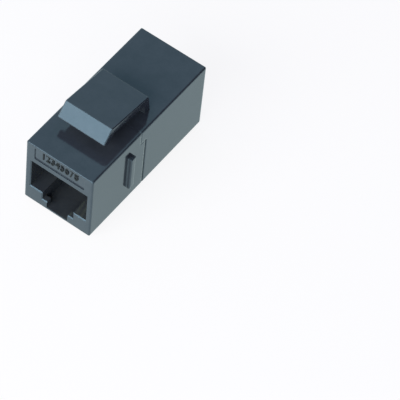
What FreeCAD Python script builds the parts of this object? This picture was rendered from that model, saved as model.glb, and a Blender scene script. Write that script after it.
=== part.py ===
import FreeCAD, Part
import math
import os

from FreeCAD import Vector

# Feed-through coupler for two modular plugs, made to snap into a keystone
# panel. Millimetres, +Z up, the first socket faces -Y. The origin is the
# centre of the bounding box's underside, at the foot of the lower catch.
#
# Each end of the coupler is drawn once, in its own end frame: the face of the
# socket lies at y = 0, y grows into the socket, z is height above the
# underside of the body and x = 0 is the middle.

# ---- socket (heights are above the underside of the body) ----
port_width = 12.2
port_floor = 3.8
port_height = 7.1
mouth_chamfer = 0.2
notch_width = 6.8
notch_floor = 2.0
slot_width = 4.6
slot_floor = 0.5
lock_pocket_length = 6.8
lock_pocket_ramp = 1.0

# ---- body walls ----
body_length = 33.2
side_wall = 1.15
front_wall = 1.2
top_wall = 1.1
base_wall = 1.2
shelf_thickness = 0.9
rail_thickness = 0.8
core_setback = 1.8
ledge_height = 0.45
ledge_width = 0.6
edge_radius = 0.3
face_radius = 0.2

# ---- joint between the two half shells ----
seam_from_middle = 1.15
seam_step = 1.5
seam_step_height = 12.65
seam_gap = 0.3
seam_top_gap = 0.03
collar_thickness = 0.5
collar_reach = 2.2
hook_height = 0.25
hook_length = 1.1
hook_setback = 0.35
hook_width = 5.0
hook_middle = 7.5

# ---- recessed label field on the front face ----
label_width = 10.9
label_height = 3.1
label_depth = 0.2
label_corner = 0.3
label_from_top = 0.6

# ---- keystone latch on the upper side ----
latch_width = 10.2
latch_thickness = 1.5
latch_tip_position = 5.65
latch_tip_height = 2.85
latch_peak_position = 7.95
latch_peak_height = 5.4
latch_rear_position = 18.6
latch_rear_height = 3.95
latch_root_position = 19.4
latch_outer_radius = 0.25
latch_inner_radius = 0.9
latch_side_chamfer = 0.15

# ---- fixed catch on the underside ----
catch_width = 8.4
catch_position = 7.5
catch_length = 1.1
catch_height = 1.1
catch_chamfer = 0.5

# ---- stop ribs on the sides ----
rib_position = 10.45
rib_thickness = 1.25
rib_height = 0.75
rib_length = 8.4
rib_radius = 0.15

# ---- circuit board across the middle ----
board_thickness = 1.6
board_standoff = 1.2
board_hole = 0.6
row_spacing = 2.54

# ---- spring contacts ----
contact_count = 8
contact_pitch = 1.02
strip_width = 0.42
strip_thickness = 0.3
nose_radius = 0.8
nose_setback = 0.3
contact_slope = 37.4
contact_rest_height = 4.35
lower_bend_radius = 1.5
jog_radius = 0.5
jog_setback = 0.6
tail_length = 0.7
tip_length = 0.8
solder_radius = 0.48
solder_crown = 0.34
solder_height = 0.45

# ---- contact carrier ----
carrier_height = 3.35
flange_width = 0.95
bulkhead_thickness = 1.5
comb_depth = 1.0
comb_cheek = 0.6
comb_lip = 0.45
separator_chamfer = 0.5
groove_clearance = 0.05
under_groove_length = 2.0
foot_size = 1.3
peg_radius = 0.45
peg_length = 1.2

# ---- clearances ----
fit_gap = 0.05
strip_gap = 0.03

# ---- values that follow from the sizes above ----
half_port = port_width / 2
body_width = port_width + 2 * side_wall
half_body = body_width / 2
port_top = port_floor + port_height
carrier_base = port_top + ledge_height
carrier_top = carrier_base + carrier_height
hollow_top = carrier_top + fit_gap
body_height = hollow_top + top_wall
seam_position = body_length / 2 - seam_from_middle

board_front = body_length / 2 - board_thickness / 2
board_back = board_front + board_thickness
carrier_back = board_front - board_standoff
bulkhead_front = carrier_back - bulkhead_thickness
comb_front = bulkhead_front - comb_depth
shelf_end = comb_front - fit_gap

half_strip = strip_thickness / 2
separator_radius = nose_radius + half_strip
core_radius = nose_radius - half_strip - strip_gap
nose_y = front_wall + nose_setback + separator_radius
nose_z = carrier_base + separator_radius
upper_row = nose_z + nose_radius
rest_z = port_floor + contact_rest_height
lower_row = upper_row - row_spacing
jog_y = carrier_back - jog_setback
carrier_half = half_port - fit_gap
groove_width = strip_width + 2 * groove_clearance
foot_x = carrier_half - foot_size / 2
foot_low = base_wall + fit_gap + foot_size / 2
foot_high = carrier_top - foot_size / 2


def corner_edges(points, radii, closed):
    """Edges through points in order, each corner rounded to its radius."""
    count = len(points)
    joints = []
    for index, point in enumerate(points):
        radius = radii[index]
        is_end = not closed and index in (0, count - 1)
        if radius <= 0 or is_end:
            joints.append((point, None, point))
            continue
        before = (points[index - 1] - point).normalize()
        after = (points[(index + 1) % count] - point).normalize()
        half_angle = before.getAngle(after) / 2
        reach = radius / math.tan(half_angle)
        inward = (before + after).normalize()
        centre = point + inward * (radius / math.sin(half_angle))
        joints.append((point + before * reach, centre - inward * radius, point + after * reach))
    edges = []
    for index, (start, middle, end) in enumerate(joints):
        if middle is not None:
            edges.append(Part.Arc(start, middle, end).toShape())
        if index + 1 < count or closed:
            following = joints[(index + 1) % count][0]
            if end.distanceToPoint(following) > 1e-6:
                edges.append(Part.LineSegment(end, following).toShape())
    return edges


def side_profile(corners):
    """Face in the YZ plane from (y, z, corner radius)."""
    points = [Vector(0, y, z) for y, z, radius in corners]
    radii = [radius for y, z, radius in corners]
    return Part.Face(Part.Wire(corner_edges(points, radii, True)))


def across(face, width, middle=0.0):
    """Extrude a YZ face to a width in X about a middle."""
    face = face.copy()
    face.translate(Vector(middle - width / 2, 0, 0))
    return face.extrude(Vector(width, 0, 0))


def mirrored_section(half, start, end):
    """Extrude along Y a closed XZ section given by its +X half."""
    points = [Vector(x, start, z) for x, z in half]
    other = [Vector(-x, start, z) for x, z in reversed(half) if x > 0]
    points = points + other
    face = Part.Face(Part.makePolygon(points + points[:1]))
    return face.extrude(Vector(0, end - start, 0))


def block(x_range, y_range, z_range):
    """Box from three (low, high) pairs."""
    size = [high - low for low, high in (x_range, y_range, z_range)]
    corner = Vector(x_range[0], y_range[0], z_range[0])
    return Part.makeBox(size[0], size[1], size[2], corner)


def rectangle(width, low, high, y):
    """Closed wire of a rectangle that stands at y."""
    half = width / 2
    corners = [
        Vector(-half, y, low),
        Vector(half, y, low),
        Vector(half, y, high),
        Vector(-half, y, high),
    ]
    return Part.makePolygon(corners + corners[:1])


def at_front(shape):
    """Move a shape from the end frame to the first end."""
    placed = shape.copy()
    placed.translate(Vector(0, -body_length / 2, catch_height))
    return placed


def at_rear(shape):
    """Turn a shape from the end frame round to the second end."""
    placed = shape.copy()
    placed.rotate(Vector(0, 0, 0), Vector(0, 0, 1), 180)
    placed.translate(Vector(0, body_length / 2, catch_height))
    return placed


def save(name, shape):
    """Write one node."""
    shape.exportStep(os.path.join("parts", name + ".step"))


def contact_positions():
    """X of each contact in the end frame."""
    middle = (contact_count - 1) / 2
    return [(index - middle) * contact_pitch for index in range(contact_count)]


def is_upper(index):
    """Odd contacts keep the upper row of board holes."""
    return index % 2 == 0


# ---------------------------------------------------------------- shells
def outer_block(low_length, high_length):
    """Rounded outer form of a half shell with its stepped seam."""
    outline = side_profile(
        [
            (0, 0, 0),
            (low_length, 0, 0),
            (low_length, seam_step_height, 0),
            (high_length, seam_step_height, 0),
            (high_length, body_height, 0),
            (0, body_height, 0),
        ]
    )
    solid = across(outline, body_width)
    long_edges = []
    face_edges = []
    for edge in solid.Edges:
        box = edge.BoundBox
        if box.YMax < 1e-6:
            face_edges.append(edge)
        elif box.XLength < 1e-6 and box.ZLength < 1e-6:
            if box.ZMax < 1e-6 or box.ZMin > body_height - 1e-6:
                long_edges.append(edge)
    solid = solid.makeFillet(edge_radius, long_edges)
    face_edges = [edge for edge in solid.Edges if edge.BoundBox.YMax < 1e-6]
    return solid.makeFillet(face_radius, face_edges)


def tapered_entry(width, low, high, chamfer):
    """Opening through the face wall with a chamfered rim."""
    outer = rectangle(width + 2 * chamfer, low - chamfer, high + chamfer, 0)
    inner = rectangle(width, low, high, chamfer)
    rim = Part.makeLoft([outer, inner], True, True)
    throat = Part.Face(inner).extrude(Vector(0, front_wall, 0))
    return rim.fuse(throat)


def socket_hollow(shell_length):
    """Everything that is cut out of a half shell behind its face."""
    section = [
        (0, base_wall),
        (notch_width / 2, base_wall),
        (notch_width / 2, port_floor),
        (half_port, port_floor),
        (half_port, port_top),
        (half_port - ledge_width, port_top),
        (half_port - ledge_width, carrier_base),
        (half_port, carrier_base),
        (half_port, hollow_top),
        (0, hollow_top),
    ]
    open_end = [
        (0, base_wall),
        (half_port, base_wall),
        (half_port, hollow_top),
        (0, hollow_top),
    ]
    lock_end = front_wall + lock_pocket_length
    lock_outline = side_profile(
        [
            (front_wall, slot_floor, 0),
            (lock_end, slot_floor, 0),
            (lock_end + lock_pocket_ramp, base_wall, 0),
            (lock_end + lock_pocket_ramp, port_floor, 0),
            (front_wall, port_floor, 0),
        ]
    )
    cuts = [
        tapered_entry(port_width, port_floor, port_top, mouth_chamfer),
        tapered_entry(notch_width, notch_floor, port_floor + mouth_chamfer, mouth_chamfer),
        block(
            (-slot_width / 2, slot_width / 2),
            (-1, front_wall),
            (slot_floor, notch_floor + mouth_chamfer),
        ),
        mirrored_section(section, front_wall, shelf_end + fit_gap),
        mirrored_section(open_end, shelf_end, shell_length + collar_reach),
        across(lock_outline, notch_width),
    ]
    core_start = front_wall + core_setback
    core_inner = notch_width / 2 + rail_thickness
    core_top = port_floor - shelf_thickness
    for side in (-1, 1):
        x_range = sorted((side * core_inner, side * half_port))
        y_range = (core_start, shelf_end + fit_gap)
        cuts.append(block(x_range, y_range, (base_wall, core_top)))
    return cuts[0].multiFuse(cuts[1:])


def collar_ring(grow, low_start, high_start, low_end, high_end):
    """Stepped tube inside the walls; grow enlarges its outside."""
    outer_half = half_port + collar_thickness + grow
    low = base_wall - collar_thickness - grow
    high = hollow_top + collar_thickness + grow
    outline = side_profile(
        [
            (low_start, low, 0),
            (low_end, low, 0),
            (low_end, seam_step_height, 0),
            (high_end, seam_step_height, 0),
            (high_end, high, 0),
            (high_start, high, 0),
            (high_start, seam_step_height, 0),
            (low_start, seam_step_height, 0),
        ]
    )
    tube = across(outline, 2 * outer_half)
    bore = block(
        (-half_port, half_port),
        (min(low_start, high_start) - 1, max(low_end, high_end) + 1),
        (base_wall, hollow_top),
    )
    return tube.cut(bore)


def hook_pair(start, grow):
    """Wedge on each side of the collar; grow enlarges it to its pocket."""
    base = half_port + collar_thickness - fit_gap
    crest = half_port + collar_thickness + hook_height + grow
    back = start + hook_length + grow
    low = hook_middle - hook_width / 2 - grow
    wedges = []
    for side in (-1, 1):
        points = [
            Vector(side * base, start - grow, low),
            Vector(side * (half_port + collar_thickness + grow), start - grow, low),
            Vector(side * crest, back - 0.25 * hook_length, low),
            Vector(side * crest, back, low),
            Vector(side * base, back, low),
        ]
        face = Part.Face(Part.makePolygon(points + points[:1]))
        wedges.append(face.extrude(Vector(0, 0, hook_width + 2 * grow)))
    return wedges


def front_shell():
    """Front half: socket, label field, side ribs and lower catch."""
    low_length = seam_position - seam_gap / 2
    high_length = seam_position - seam_step - seam_top_gap / 2
    shell = outer_block(low_length, high_length)
    catch = side_profile(
        [
            (catch_position + catch_chamfer, -catch_height, 0),
            (catch_position + catch_length, -catch_height, 0.15),
            (catch_position + catch_length, base_wall / 2, 0),
            (catch_position, base_wall / 2, 0),
            (catch_position, catch_chamfer - catch_height, 0),
        ]
    )
    added = [across(catch, catch_width)]
    for side in (-1, 1):
        low = (body_height - rib_length) / 2
        depth = side_wall / 2
        x_range = sorted((side * (half_body - depth), side * (half_body + rib_height)))
        y_range = (rib_position, rib_position + rib_thickness)
        rib = block(x_range, y_range, (low, low + rib_length))
        outer_x = side * (half_body + rib_height)
        rim = []
        for edge in rib.Edges:
            box = edge.BoundBox
            if abs(box.XMin - outer_x) < 1e-6 and abs(box.XMax - outer_x) < 1e-6:
                rim.append(edge)
        added.append(rib.makeFillet(rib_radius, rim))
    shell = shell.multiFuse(added)
    shell = shell.cut(socket_hollow(low_length))

    joint_start = seam_position - collar_reach
    rebate = collar_ring(
        fit_gap,
        joint_start,
        joint_start - seam_step,
        low_length + 1,
        low_length + 1,
    )
    pockets = hook_pair(joint_start + hook_setback, fit_gap)
    shell = shell.cut(rebate.multiFuse(pockets))

    label_top = body_height - label_from_top
    label_low = label_top - label_height
    label = block(
        (-label_width / 2, label_width / 2),
        (-label_depth, label_depth),
        (label_low, label_top),
    )
    upright = [edge for edge in label.Edges if edge.BoundBox.YLength > label_depth]
    return shell.cut(label.makeFillet(label_corner, upright)).removeSplitter()


def latch_arm():
    """Sprung arm in the end frame of the front face, above the body."""
    def along(y, height):
        return Vector(0, y, body_height + height)

    tip = along(latch_tip_position, latch_tip_height)
    peak = along(latch_peak_position, latch_peak_height)
    rear = along(latch_rear_position, latch_rear_height)
    root = along(latch_root_position, -top_wall / 2)
    ramp = (peak - tip).normalize()
    top = (rear - peak).normalize()
    post = (root - rear).normalize()

    def inside(direction):
        return Vector(0, direction.z, -direction.y) * latch_thickness

    def crossing(start_a, run_a, start_b, run_b):
        gap = start_b - start_a
        bend = run_a.y * run_b.z - run_a.z * run_b.y
        return start_a + run_a * ((gap.y * run_b.z - gap.z * run_b.y) / bend)

    tip_inner = tip + inside(ramp)
    peak_inner = crossing(tip_inner, ramp, peak + inside(top), top)
    rear_inner = crossing(peak + inside(top), top, root + inside(post), post)
    root_inner = crossing(root + inside(post), post, root, Vector(0, 1, 0))
    corners = [
        (tip, latch_outer_radius),
        (peak, latch_outer_radius),
        (rear, latch_outer_radius),
        (root, 0),
        (root_inner, 0),
        (rear_inner, latch_inner_radius),
        (peak_inner, latch_inner_radius),
        (tip_inner, 0),
    ]
    face = side_profile([(point.y, point.z, radius) for point, radius in corners])
    arm = across(face, latch_width)
    outer_radii = [0, latch_outer_radius, latch_outer_radius, 0]
    back = Part.Wire(corner_edges([tip, peak, rear, root], outer_radii, False))
    rims = []
    for edge in arm.Edges:
        middle = edge.valueAt((edge.FirstParameter + edge.LastParameter) / 2)
        middle.x = 0
        is_side = edge.BoundBox.XLength < 1e-6
        on_back = back.distToShape(Part.Vertex(middle))[0] < 1e-6
        if is_side and on_back and middle.z > body_height:
            rims.append(edge)
    return arm.makeChamfer(latch_side_chamfer, rims)


def rear_shell():
    """Rear half: socket, joint collar with its hooks, and the latch."""
    low_length = body_length - seam_position - seam_gap / 2
    high_length = body_length - seam_position + seam_step - seam_top_gap / 2
    shell = at_rear(outer_block(low_length, high_length))
    shell = shell.fuse(at_front(latch_arm()))
    shell = shell.cut(at_rear(socket_hollow(low_length + seam_step)))
    joint_start = seam_position - collar_reach
    depth = seam_position + collar_reach
    collar = collar_ring(0, joint_start, joint_start - seam_step, depth, depth)
    hooks = hook_pair(joint_start + hook_setback, 0)
    joint = collar.multiFuse(hooks)
    return shell.fuse(at_front(joint)).removeSplitter()


# --------------------------------------------------- carrier and contacts
def carrier():
    """Contact carrier in the end frame."""
    plate_top = nose_z + separator_radius
    plate_front = nose_y - separator_radius
    plate = side_profile(
        [
            (plate_front + separator_chamfer, carrier_base, 0),
            (carrier_back, carrier_base, 0),
            (carrier_back, plate_top, 0),
            (plate_front + separator_chamfer, plate_top, 0),
            (plate_front, plate_top - separator_chamfer, 0),
            (plate_front, carrier_base + separator_chamfer, 0),
        ]
    )
    body = [across(plate, 2 * carrier_half - flange_width)]
    for side in (-1, 1):
        x_range = sorted((side * (carrier_half - flange_width), side * carrier_half))
        y_range = (front_wall + fit_gap, carrier_back)
        body.append(block(x_range, y_range, (carrier_base, carrier_top)))
    bulkhead = block(
        (-carrier_half, carrier_half),
        (bulkhead_front, carrier_back),
        (base_wall + fit_gap, carrier_top),
    )
    comb_half = contact_pitch * (contact_count - 1) / 2 + groove_width / 2 + comb_cheek
    slot_bottom = rest_z - half_strip - strip_gap
    comb = block(
        (-comb_half, comb_half),
        (comb_front, carrier_back),
        (slot_bottom - comb_lip, carrier_base + fit_gap),
    )
    body = body + [bulkhead, comb]
    for side in (-1, 1):
        for level in (foot_low, foot_high):
            middle = side * foot_x
            body.append(
                block(
                    (middle - foot_size / 2, middle + foot_size / 2),
                    (bulkhead_front, board_front),
                    (level - foot_size / 2, level + foot_size / 2),
                )
            )
    peg_base = Vector(foot_x, carrier_back, foot_high)
    peg_reach = board_standoff + peg_length
    body.append(Part.makeCylinder(peg_radius, peg_reach, peg_base, Vector(0, 1, 0)))
    solid = body[0].multiFuse(body[1:])

    groove_floor = nose_z + core_radius
    groove_roof = nose_z - core_radius
    beyond = separator_radius + fit_gap
    groove = side_profile(
        [
            (carrier_back + 1, carrier_top + 1, 0),
            (nose_y - beyond - 1, carrier_top + 1, 0),
            (nose_y - beyond - 1, nose_z - beyond, 0),
            (nose_y + under_groove_length, nose_z - beyond, 0),
            (nose_y + under_groove_length, groove_roof, 0),
            (nose_y - core_radius, groove_roof, core_radius * 0.98),
            (nose_y - core_radius, groove_floor, core_radius * 0.98),
            (carrier_back + 1, groove_floor, 0),
        ]
    )
    jog_slot = side_profile(
        [
            (jog_y - jog_radius, lower_row - half_strip - strip_gap, 0),
            (carrier_back + 1, lower_row - half_strip - strip_gap, 0),
            (carrier_back + 1, groove_floor + fit_gap, 0),
            (jog_y - jog_radius, groove_floor + fit_gap, 0),
        ]
    )
    comb_slot = side_profile(
        [
            (comb_front - 1, slot_bottom, 0),
            (bulkhead_front, slot_bottom, 0),
            (bulkhead_front, carrier_base, 0),
            (comb_front - 1, carrier_base, 0),
        ]
    )
    cuts = []
    for index, x in enumerate(contact_positions()):
        cuts.append(across(groove, groove_width, x))
        cuts.append(across(comb_slot, groove_width, x))
        if not is_upper(index):
            cuts.append(across(jog_slot, groove_width, x))
    return solid.cut(cuts[0].multiFuse(cuts[1:])).removeSplitter()


def contact(index, x):
    """Sprung strip: tail, upper run, nose bend, slope and free tip."""
    slope = math.radians(contact_slope)
    tangent_y = nose_y - nose_radius * math.sin(slope)
    tangent_z = nose_z - nose_radius * math.cos(slope)
    nose_corner = tangent_y - (upper_row - tangent_z) / math.tan(slope)
    low_corner = tangent_y + (tangent_z - rest_z) / math.tan(slope)
    tail_end = board_back + tail_length
    if is_upper(index):
        stops = [(tail_end, upper_row, 0)]
    else:
        stops = [
            (tail_end, lower_row, 0),
            (jog_y, lower_row, jog_radius),
            (jog_y, upper_row, jog_radius),
        ]
    stops = stops + [
        (nose_corner, upper_row, nose_radius),
        (low_corner, rest_z, lower_bend_radius),
        (comb_front + tip_length, rest_z, 0),
    ]
    points = [Vector(x, y, z) for y, z, radius in stops]
    radii = [radius for y, z, radius in stops]
    path = Part.Wire(corner_edges(points, radii, False))
    low = points[0].z - half_strip
    section = rectangle(strip_width, low, low + strip_thickness, points[0].y)
    section.translate(Vector(x, 0, 0))
    return path.makePipeShell([section], True, False)


def solder_joint(index, x):
    """Solder round a tail, on the far face of the board."""
    z = upper_row if is_upper(index) else lower_row
    rings = []
    for radius, rise in ((solder_radius, 0), (solder_crown, solder_height)):
        corners = []
        for step in range(9):
            turn = math.radians(45 * step + 22.5)
            corner = Vector(radius * math.cos(turn), rise, radius * math.sin(turn))
            corners.append(corner + Vector(x, board_back, z))
        rings.append(Part.makePolygon(corners))
    cone = Part.makeLoft(rings, True, True)
    half_hole = strip_width / 2 + strip_gap / 2
    hole = block(
        (x - half_hole, x + half_hole),
        (board_back - 1, board_back + 1),
        (z - half_strip - strip_gap / 2, z + half_strip + strip_gap / 2),
    )
    return cone.cut(hole)


def circuit_board():
    """Board across the middle, with the holes of both contact sets."""
    plate = block(
        (-carrier_half, carrier_half),
        (board_front, board_back),
        (base_wall + fit_gap, carrier_top),
    )
    holes = []
    for index, x in enumerate(contact_positions()):
        z = upper_row if is_upper(index) else lower_row
        for side in (-1, 1):
            base = Vector(side * x, board_front - 1, z)
            holes.append(
                Part.makeCylinder(board_hole / 2, board_thickness + 2, base, Vector(0, 1, 0))
            )
    for side in (-1, 1):
        base = Vector(side * foot_x, board_front - 1, foot_high)
        radius = peg_radius + fit_gap
        holes.append(Part.makeCylinder(radius, board_thickness + 2, base, Vector(0, 1, 0)))
    return plate.cut(holes[0].multiFuse(holes[1:]))


save("front_housing", at_front(front_shell()))
save("rear_housing", rear_shell())

contact_carrier = carrier()
save("front_contact_carrier", at_front(contact_carrier))
save("rear_contact_carrier", at_rear(contact_carrier))
save("circuit_board", at_front(circuit_board()))

joints = []
for number, position in enumerate(contact_positions()):
    strip = contact(number, position)
    save("front_contact_" + str(number + 1), at_front(strip))
    save("rear_contact_" + str(number + 1), at_rear(strip))
    joints.append(solder_joint(number, position))

solder = Part.makeCompound(joints)
save("front_contact_solder", at_front(solder))
save("rear_contact_solder", at_rear(solder))
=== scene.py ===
import math
import bpy
import bmesh
from mathutils import Matrix, Vector


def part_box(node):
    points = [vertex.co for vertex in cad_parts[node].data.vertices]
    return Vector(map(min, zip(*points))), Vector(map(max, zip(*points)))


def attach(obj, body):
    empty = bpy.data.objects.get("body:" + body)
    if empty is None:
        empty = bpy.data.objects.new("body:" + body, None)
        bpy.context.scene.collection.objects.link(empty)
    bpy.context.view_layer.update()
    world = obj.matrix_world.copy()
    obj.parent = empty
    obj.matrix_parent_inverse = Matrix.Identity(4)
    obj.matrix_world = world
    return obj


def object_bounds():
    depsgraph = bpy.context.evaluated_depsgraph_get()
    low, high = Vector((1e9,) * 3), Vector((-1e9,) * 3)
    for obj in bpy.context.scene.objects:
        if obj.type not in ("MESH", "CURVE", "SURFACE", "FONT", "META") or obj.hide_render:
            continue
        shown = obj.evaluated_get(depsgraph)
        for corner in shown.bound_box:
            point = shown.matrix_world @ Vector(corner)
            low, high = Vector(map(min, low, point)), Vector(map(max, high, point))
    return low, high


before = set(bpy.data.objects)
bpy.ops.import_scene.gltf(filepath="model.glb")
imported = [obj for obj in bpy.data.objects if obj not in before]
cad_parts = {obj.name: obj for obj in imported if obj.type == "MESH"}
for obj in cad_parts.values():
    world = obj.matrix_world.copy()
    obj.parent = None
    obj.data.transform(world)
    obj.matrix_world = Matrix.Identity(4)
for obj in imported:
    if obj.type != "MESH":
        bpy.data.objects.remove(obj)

mm = 0.001
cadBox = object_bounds()
middle = (cadBox[0] + cadBox[1]) / 2
print("frame loaded:", len(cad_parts), "pieces")


# small helpers for node trees

nodeSpacing = (240, 320)    # across and down, in the node editor
noiseReach = (0.3, 0.7)     # most of a noise texture's values lie in here
mixColourA, mixColourB, mixColourResult = 6, 7, 2   # by place, as other sockets share their names


def newTree(owner):
    owner.use_nodes = True
    owner.node_tree.nodes.clear()
    return owner.node_tree


def addNode(tree, kind, inputs=None, **settings):
    # another node's output is linked in, a plain value is set on the socket itself
    node = tree.nodes.new(kind)
    for key, value in settings.items():
        setattr(node, key, value)
    for key, value in (inputs or {}).items():
        socket = node.inputs[key]
        if isinstance(value, bpy.types.NodeSocket):
            tree.links.new(value, socket)
        elif socket.type == "RGBA":
            socket.default_value = (*value, 1)
        else:
            socket.default_value = value
    return node


def layOut(tree, out):
    # columns run leftwards from the output, one for each step along the links
    column = {out.name: 0}
    waiting = [out.name]
    while waiting:
        name = waiting.pop(0)
        for link in tree.links:
            source = link.from_node.name
            if link.to_node.name == name and column.get(source, -1) <= column[name]:
                column[source] = column[name] + 1
                waiting.append(source)
    rows = {}
    for name, across in column.items():
        down = rows[across] = rows.get(across, -1) + 1
        tree.nodes[name].location = (-nodeSpacing[0] * across, -nodeSpacing[1] * down)


def closeTree(tree, outputKind, shader):
    out = addNode(tree, outputKind, {"Surface": shader.outputs[0]})
    layOut(tree, out)


def addSurface(tree, colour, gloss, normal, extra=None):
    inputs = {"Base Color": colour, "Roughness": gloss, "Normal": normal, **(extra or {})}
    shader = addNode(tree, "ShaderNodeBsdfPrincipled", inputs)
    closeTree(tree, "ShaderNodeOutputMaterial", shader)


def millimetres(tree, stretch=(1, 1, 1)):
    # object coordinates turned into millimetres, so every scale below reads per mm
    coords = addNode(tree, "ShaderNodeTexCoord")
    mapping = addNode(tree, "ShaderNodeMapping", {
        "Vector": coords.outputs["Object"], "Scale": [s / mm for s in stretch],
    })
    return mapping.outputs["Vector"]


def noise(tree, vector, pattern):
    scale, detail, roughness = pattern
    node = addNode(tree, "ShaderNodeTexNoise", {
        "Vector": vector, "Scale": scale, "Detail": detail, "Roughness": roughness,
    })
    return node.outputs["Fac"]


def bands(tree, vector, direction, pattern):
    scale, distortion, detail = pattern
    node = addNode(tree, "ShaderNodeTexWave", {
        "Vector": vector, "Scale": scale, "Distortion": distortion, "Detail": detail,
    }, wave_type="BANDS", bands_direction=direction)
    return node.outputs["Fac"]


def spread(tree, value, ends=(0, 1), reach=noiseReach, **settings):
    # a value within its reach, spread between two ends
    node = addNode(tree, "ShaderNodeMapRange", {
        "Value": value,
        "From Min": reach[0], "From Max": reach[1],
        "To Min": ends[0], "To Max": ends[1],
    }, **settings)
    return node.outputs["Result"]


def sizeAlong(tree, vector, axis):
    # a vector's size along one axis, either way
    parts = addNode(tree, "ShaderNodeSeparateXYZ", {"Vector": vector})
    size = addNode(tree, "ShaderNodeMath", {0: parts.outputs[axis]}, operation="ABSOLUTE")
    return size.outputs[0]


def mixColour(tree, factor, first, second):
    node = addNode(tree, "ShaderNodeMix", {
        "Factor": factor, mixColourA: first, mixColourB: second,
    }, data_type="RGBA")
    return node.outputs[mixColourResult]


def softEdges(tree, radius, samples):
    node = addNode(tree, "ShaderNodeBevel", {"Radius": radius}, samples=samples)
    return node.outputs["Normal"]


def bump(tree, height, relief, normal=None):
    strength, depth = relief
    inputs = {"Height": height, "Strength": strength, "Distance": depth}
    if normal is not None:
        inputs["Normal"] = normal
    return addNode(tree, "ShaderNodeBump", inputs).outputs["Normal"]


# in the finishes below, a noise pattern is its scale per mm, detail and roughness,
# and a relief is the strength and depth of its bump

# black moulded plastic of the two half shells
shellPlastic = {
    "deepColour": (0.045, 0.055, 0.067),
    "paleColour": (0.060, 0.072, 0.085),
    "mottle": (0.35, 4, 0.6),
    "roughness": (0.08, 0.15),
    "polish": (1.1, 5, 0.65),
    "ior": 1.65,
    "glossTint": (0.39, 0.62, 0.78),
    "cornerSoftness": (0.05 * mm, 0.52 * mm),   # on small features and on the outer edges
    "outerEdge": (6.4, 6.6),    # mm from the middle, where the outer edges start
    "edgeSamples": 8,
    "sink": (0.22, 1, 0.4),
    "sinkRelief": (0.5, 0.010 * mm),
    "grain": (7.0, 3, 0.6),
    "grainRelief": (0.35, 0.004 * mm),
}


def makeShellPlastic(name, s):
    material = bpy.data.materials.new(name)
    tree = newTree(material)
    at = millimetres(tree)
    mottle = noise(tree, at, s["mottle"])
    colour = mixColour(tree, spread(tree, mottle), s["deepColour"], s["paleColour"])
    # uneven gloss, as the mould was polished
    gloss = spread(tree, noise(tree, at, s["polish"]), s["roughness"])
    radius = spread(tree, sizeAlong(tree, at, "X"), s["cornerSoftness"], s["outerEdge"])
    normal = softEdges(tree, radius, s["edgeSamples"])
    # fine grain over a faint sink of the walls
    normal = bump(tree, noise(tree, at, s["sink"]), s["sinkRelief"], normal)
    normal = bump(tree, noise(tree, at, s["grain"]), s["grainRelief"], normal)
    addSurface(tree, colour, gloss, normal, {"IOR": s["ior"], "Specular Tint": s["glossTint"]})
    return material


# satin black of the contact carriers
carrierPlastic = {
    "deepColour": (0.014, 0.015, 0.017),
    "paleColour": (0.022, 0.023, 0.026),
    "mottle": (0.8, 3, 0.6),
    "roughness": (0.42, 0.55),
    "polish": (2.5, 4, 0.6),
    "gloss": 0.5,
    "cornerSoftness": 0.05 * mm,
    "edgeSamples": 4,
    "grain": (9.0, 4, 0.7),
    "grainRelief": (0.6, 0.008 * mm),
}

# numbers left matt by the mould and coloured darker than the shell plastic they are moulded in:
# painted shade, so they read dark against the gloss
numberPlasticPaintedShade = {
    **carrierPlastic,
    "deepColour": (0.010, 0.013, 0.015),
    "paleColour": (0.016, 0.020, 0.022),
    "roughness": (0.55, 0.70),
    "gloss": 0.2,
    "cornerSoftness": 0.03 * mm,
    "grain": (12.0, 4, 0.7),
    "grainRelief": (0.6, 0.006 * mm),
}


def makeSatinPlastic(name, s):
    material = bpy.data.materials.new(name)
    tree = newTree(material)
    at = millimetres(tree)
    mottle = noise(tree, at, s["mottle"])
    colour = mixColour(tree, spread(tree, mottle), s["deepColour"], s["paleColour"])
    gloss = spread(tree, noise(tree, at, s["polish"]), s["roughness"])
    soft = softEdges(tree, s["cornerSoftness"], s["edgeSamples"])
    normal = bump(tree, noise(tree, at, s["grain"]), s["grainRelief"], soft)
    addSurface(tree, colour, gloss, normal, {"Specular IOR Level": s["gloss"]})
    return material


# gold-plated phosphor bronze strip
contactGold = {
    "brightGold": (0.93, 0.69, 0.30),
    "warmGold": (0.80, 0.52, 0.19),
    "patches": (1.6, 3, 0.6),
    "roughness": (0.16, 0.30),
    "rollStretch": (14, 1.2, 14),   # draws the noise out into lines along the strip
    "rollLines": (1.0, 2, 0.5),
    "lineRelief": (0.5, 0.0015 * mm),
    "cornerSoftness": 0.04 * mm,
    "edgeSamples": 4,
}


def makeContactGold(name, s):
    material = bpy.data.materials.new(name)
    tree = newTree(material)
    patches = noise(tree, millimetres(tree), s["patches"])
    colour = mixColour(tree, spread(tree, patches), s["brightGold"], s["warmGold"])
    lines = noise(tree, millimetres(tree, s["rollStretch"]), s["rollLines"])
    gloss = spread(tree, lines, s["roughness"])
    soft = softEdges(tree, s["cornerSoftness"], s["edgeSamples"])
    normal = bump(tree, lines, s["lineRelief"], soft)
    addSurface(tree, colour, gloss, normal, {"Metallic": 1})
    return material


# green solder mask over glass cloth, bare cloth at the cut edge
boardLaminate = {
    "maskGreen": (0.012, 0.105, 0.045),
    "maskOverCopper": (0.030, 0.190, 0.075),
    "tracks": (0.35, 1.5, 0),       # scale per mm, distortion and detail of the bands
    "trackEdge": (0.55, 0.62),
    "cutEdge": (0.42, 0.36, 0.17),
    "broadFace": (0.6, 0.8),        # how squarely a face looks along the coupler
    "roughness": (0.28, 0.42),
    "polish": (1.5, 3, 0.6),
    "weave": (1.9, 0.6, 1),         # as the tracks
    "weaveRelief": (0.4, 0.006 * mm),
}


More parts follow.
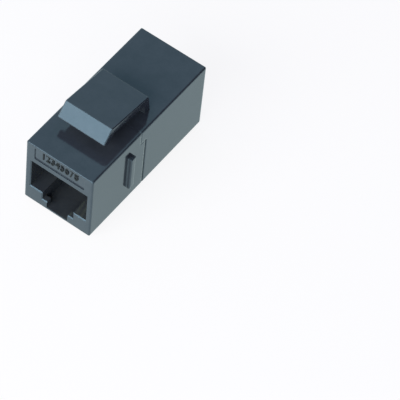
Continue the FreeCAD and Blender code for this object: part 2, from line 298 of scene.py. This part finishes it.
def makeBoardLaminate(name, s):
    material = bpy.data.materials.new(name)
    tree = newTree(material)
    at = millimetres(tree)
    tracks = spread(tree, bands(tree, at, "DIAGONAL", s["tracks"]), reach=s["trackEdge"])
    mask = mixColour(tree, tracks, s["maskGreen"], s["maskOverCopper"])
    # the two broad faces look along the coupler, every other face is a cut edge
    facing = addNode(tree, "ShaderNodeNewGeometry")
    broad = spread(tree, sizeAlong(tree, facing.outputs["Normal"], "Y"), reach=s["broadFace"])
    colour = mixColour(tree, broad, s["cutEdge"], mask)
    gloss = spread(tree, noise(tree, at, s["polish"]), s["roughness"])
    normal = bump(tree, bands(tree, at, "X", s["weave"]), s["weaveRelief"])
    addSurface(tree, colour, gloss, normal)
    return material


# bright tin with a slightly wrinkled skin
tinSolder = {
    "brightTin": (0.74, 0.75, 0.77),
    "dullTin": (0.50, 0.51, 0.53),
    "skin": (3.0, 4, 0.6),
    "skinRelief": (0.5, 0.02 * mm),
    "roughness": (0.18, 0.38),
    "cornerSoftness": 0.15 * mm,
    "edgeSamples": 4,
}


def makeTinSolder(name, s):
    material = bpy.data.materials.new(name)
    tree = newTree(material)
    skin = noise(tree, millimetres(tree), s["skin"])
    colour = mixColour(tree, spread(tree, skin), s["brightTin"], s["dullTin"])
    gloss = spread(tree, skin, s["roughness"])
    soft = softEdges(tree, s["cornerSoftness"], s["edgeSamples"])
    addSurface(tree, colour, gloss, bump(tree, skin, s["skinRelief"], soft), {"Metallic": 1})
    return material


finishes = {
    "housing": makeShellPlastic("blackShellPlastic", shellPlastic),
    "carrier": makeSatinPlastic("satinCarrierPlastic", carrierPlastic),
    "board": makeBoardLaminate("greenBoardLaminate", boardLaminate),
    # the numbers' finish carries painted shade: a darker colour than the shell
    "number": makeSatinPlastic("mattNumberPaintedShade", numberPlasticPaintedShade),
    "contact": makeContactGold("goldContactStrip", contactGold),
    "solder": makeTinSolder("tinSolder", tinSolder),
}


def finishFor(node):
    # the longer names come first: a contact carrier isn't a contact
    for word in ("housing", "carrier", "board", "solder", "contact"):
        if word in node:
            return finishes[word]
    raise ValueError("no finish for " + node)


for node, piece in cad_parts.items():
    for place in piece.material_slots:
        place.material = finishFor(node)
print("finishes given to", len(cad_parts), "pieces")


# helpers for new objects

def meshObject(name, bm, material):
    mesh = bpy.data.meshes.new(name)
    bm.to_mesh(mesh)
    bm.free()
    mesh.materials.append(material)
    made = bpy.data.objects.new(name, mesh)
    bpy.context.scene.collection.objects.link(made)
    return made


def faceMiddle(thing, s):
    # out from the coupler's middle, and turned back to face it
    direction = Vector(s["towards"]).normalized()
    thing.location = middle + direction * s["distance"]
    thing.rotation_mode = "QUATERNION"
    thing.rotation_quaternion = direction.to_track_quat("Z", "Y")


# raised numbers one to eight in the face's sunk field, one over each contact
contactNumbers = {
    "count": 8,
    "pitch": 1.02 * mm,
    "height": 1.85 * mm,
    "digitShare": 0.69,         # a digit's height against its text size
    "thickening": 0.03 * mm,    # bolder strokes
    "narrowing": 0.66,          # width of a digit against the font's own
    "raised": 0.17 * mm,        # above the floor of the field
    "fieldDepth": 0.20 * mm,
    "fromTop": 1.65 * mm,       # middle of the digits, below the body's top face
    "softness": 0.025 * mm,
    "softnessSteps": 1,
    "curveSteps": 5,
}


def makeDigit(number, place, s):
    text = bpy.data.curves.new("digit", "FONT")
    text.body = str(number)
    text.align_x, text.align_y = "CENTER", "CENTER"
    text.size = s["height"] / s["digitShare"]
    text.extrude = s["raised"] / 2 - s["softness"]
    text.bevel_depth = s["softness"]
    text.bevel_resolution = s["softnessSteps"]
    text.resolution_u = s["curveSteps"]
    text.offset = s["thickening"]
    holder = bpy.data.objects.new("digit", text)
    digit = bpy.data.meshes.new_from_object(holder)
    upright = Matrix.Rotation(math.radians(90), 4, "X")
    narrow = Matrix.Diagonal((s["narrowing"], 1, 1, 1))
    digit.transform(Matrix.Translation(place) @ upright @ narrow)
    bpy.data.objects.remove(holder)
    bpy.data.curves.remove(text)
    return digit


def makeContactNumbers(s):
    low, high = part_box("front_housing")
    bm = bmesh.new()
    for number in range(1, s["count"] + 1):
        across = (number - (s["count"] + 1) / 2) * s["pitch"]
        inward = low.y + s["fieldDepth"] - s["raised"] / 2
        digit = makeDigit(number, (across, inward, high.z - s["fromTop"]), s)
        bm.from_mesh(digit)
        bpy.data.meshes.remove(digit)
    piece = meshObject("contact_numbers", bm, finishes["number"])
    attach(piece, "root")


makeContactNumbers(contactNumbers)
print("contact numbers set in the face")


# pale floor and soft sky
studio = {
    "floorRadius": 0.075,       # past its rim the white world carries on
    "floorSides": 96,
    "floorGap": 0.02 * mm,
    "floorColour": (0.20, 0.20, 0.20),
    "floorLift": 0.875,         # brings the plain floor up to white for the eye and for gloss
    "cameraWhite": (1.0, 1.0, 1.0),
    "glossWhite": (0.82, 1.0, 1.0),     # the white of floor and sky as gloss and glass find it
    "whiteStrength": 1,
    "skyColour": (0.80, 0.80, 1.35),
    "skyCentre": (-0.45, 0.35, 0.82),   # where the sky is brightest
    "skyLevel": (0.13, 0.32),   # dim to bright
    "skyEdge": (0.56, 0.90),    # cosine from the centre, dim to bright
}


def maximum(tree, first, second):
    return addNode(tree, "ShaderNodeMath", {0: first, 1: second}, operation="MAXIMUM").outputs[0]


def seenRays(tree, s):
    # camera, mirror and glass rays, and the white that they find
    path = addNode(tree, "ShaderNodeLightPath")
    camera = path.outputs["Is Camera Ray"]
    seen = maximum(tree, camera, path.outputs["Is Glossy Ray"])
    seen = maximum(tree, seen, path.outputs["Is Transmission Ray"])
    return seen, mixColour(tree, camera, s["glossWhite"], s["cameraWhite"])


def makeFloor(s):
    material = bpy.data.materials.new("paleFloor")
    tree = newTree(material)
    plain = addNode(tree, "ShaderNodeBsdfDiffuse", {"Color": s["floorColour"]})
    seen, white = seenRays(tree, s)
    lift = addNode(tree, "ShaderNodeMath", {0: seen, 1: s["floorLift"]}, operation="MULTIPLY")
    glow = addNode(tree, "ShaderNodeEmission", {"Color": white, "Strength": lift.outputs[0]})
    both = addNode(tree, "ShaderNodeAddShader", {0: plain.outputs[0], 1: glow.outputs[0]})
    closeTree(tree, "ShaderNodeOutputMaterial", both)
    bm = bmesh.new()
    bmesh.ops.create_circle(bm, cap_ends=True, radius=s["floorRadius"], segments=s["floorSides"])
    floor = meshObject("floor", bm, material)
    floor.location.z = cadBox[0].z - s["floorGap"]


def makeSky(s):
    world = bpy.data.worlds.new("softSky")
    tree = newTree(world)
    coords = addNode(tree, "ShaderNodeTexCoord")
    towards = addNode(tree, "ShaderNodeVectorMath", {
        0: coords.outputs["Generated"], 1: Vector(s["skyCentre"]).normalized(),
    }, operation="DOT_PRODUCT")
    level = spread(tree, towards.outputs["Value"], s["skyLevel"], s["skyEdge"],
                   interpolation_type="SMOOTHSTEP")
    seen, white = seenRays(tree, s)
    strength = addNode(tree, "ShaderNodeMix", {
        "Factor": seen, "A": level, "B": s["whiteStrength"],
    }, data_type="FLOAT")
    sky = addNode(tree, "ShaderNodeBackground", {
        "Color": mixColour(tree, seen, s["skyColour"], white),
        "Strength": strength.outputs["Result"],
    })
    closeTree(tree, "ShaderNodeOutputWorld", sky)
    bpy.context.scene.world = world


# black card high on the right, which draws the dark line along the long edge
darkCard = {
    "towards": (0.72, 0.51, 0.50),
    "distance": 0.45,
    "side": 0.60,
    "colour": (0.01, 0.01, 0.01),
}


def makeDarkCard(s):
    material = bpy.data.materials.new("blackCard")
    tree = newTree(material)
    plain = addNode(tree, "ShaderNodeBsdfDiffuse", {"Color": s["colour"]})
    closeTree(tree, "ShaderNodeOutputMaterial", plain)
    bm = bmesh.new()
    bmesh.ops.create_grid(bm, x_segments=1, y_segments=1, size=s["side"] / 2)
    card = meshObject("dark_card", bm, material)
    faceMiddle(card, s)
    card.visible_camera = card.visible_diffuse = card.visible_shadow = False


# two soft panels: where they stand from the coupler, in metres, and their power in watts
panels = {
    "frontSoftbox": {
        "towards": (-0.30, -0.80, 0.52),
        "distance": 0.62,
        "side": 0.385,
        "power": 0.45,
    },
    "lowFill": {
        "towards": (0.04, -0.92, 0.26),
        "distance": 0.62,
        "side": 0.76,
        "power": 5.4,
    },
}


def makePanel(name, s):
    light = bpy.data.lights.new(name, "AREA")
    light.shape = "SQUARE"
    light.size = s["side"]
    light.energy = s["power"]
    lamp = bpy.data.objects.new(name, light)
    faceMiddle(lamp, s)
    lamp.visible_camera = False
    bpy.context.scene.collection.objects.link(lamp)


makeFloor(studio)
makeSky(studio)
makeDarkCard(darkCard)
for name, panel in panels.items():
    makePanel(name, panel)
print("floor and lights ready")


# a long lens, high on the front right
viewpoint = {
    "azimuth": 30.34,
    "elevation": 53.46,
    "roll": 7.2,
    "distance": 496.0 * mm,
    "right": 14.87 * mm,        # how far the lens points past the coupler's middle
    "down": 13.55 * mm,
    "lens": 251.75,
    "sensorWidth": 36,
    "nearest": 0.01,            # metres, the nearest and furthest that the camera draws
    "furthest": 20,
}


def makeCamera(s):
    camera = bpy.data.cameras.new("camera")
    camera.lens = s["lens"]
    camera.sensor_width = s["sensorWidth"]
    camera.clip_start = s["nearest"]
    camera.clip_end = s["furthest"]
    eye = bpy.data.objects.new("camera", camera)
    a, e = math.radians(s["azimuth"]), math.radians(s["elevation"])
    back = Vector((math.sin(a) * math.cos(e), -math.cos(a) * math.cos(e), math.sin(e)))
    roll = Matrix.Rotation(math.radians(s["roll"]), 3, "Z")
    turn = back.to_track_quat("Z", "Y").to_matrix() @ roll
    place = middle + turn @ Vector((s["right"], -s["down"], s["distance"]))
    eye.matrix_world = Matrix.Translation(place) @ turn.to_4x4()
    bpy.context.scene.collection.objects.link(eye)
    bpy.context.scene.camera = eye


makeCamera(viewpoint)
bpy.context.scene.view_settings.view_transform = "Standard"
print("camera set")
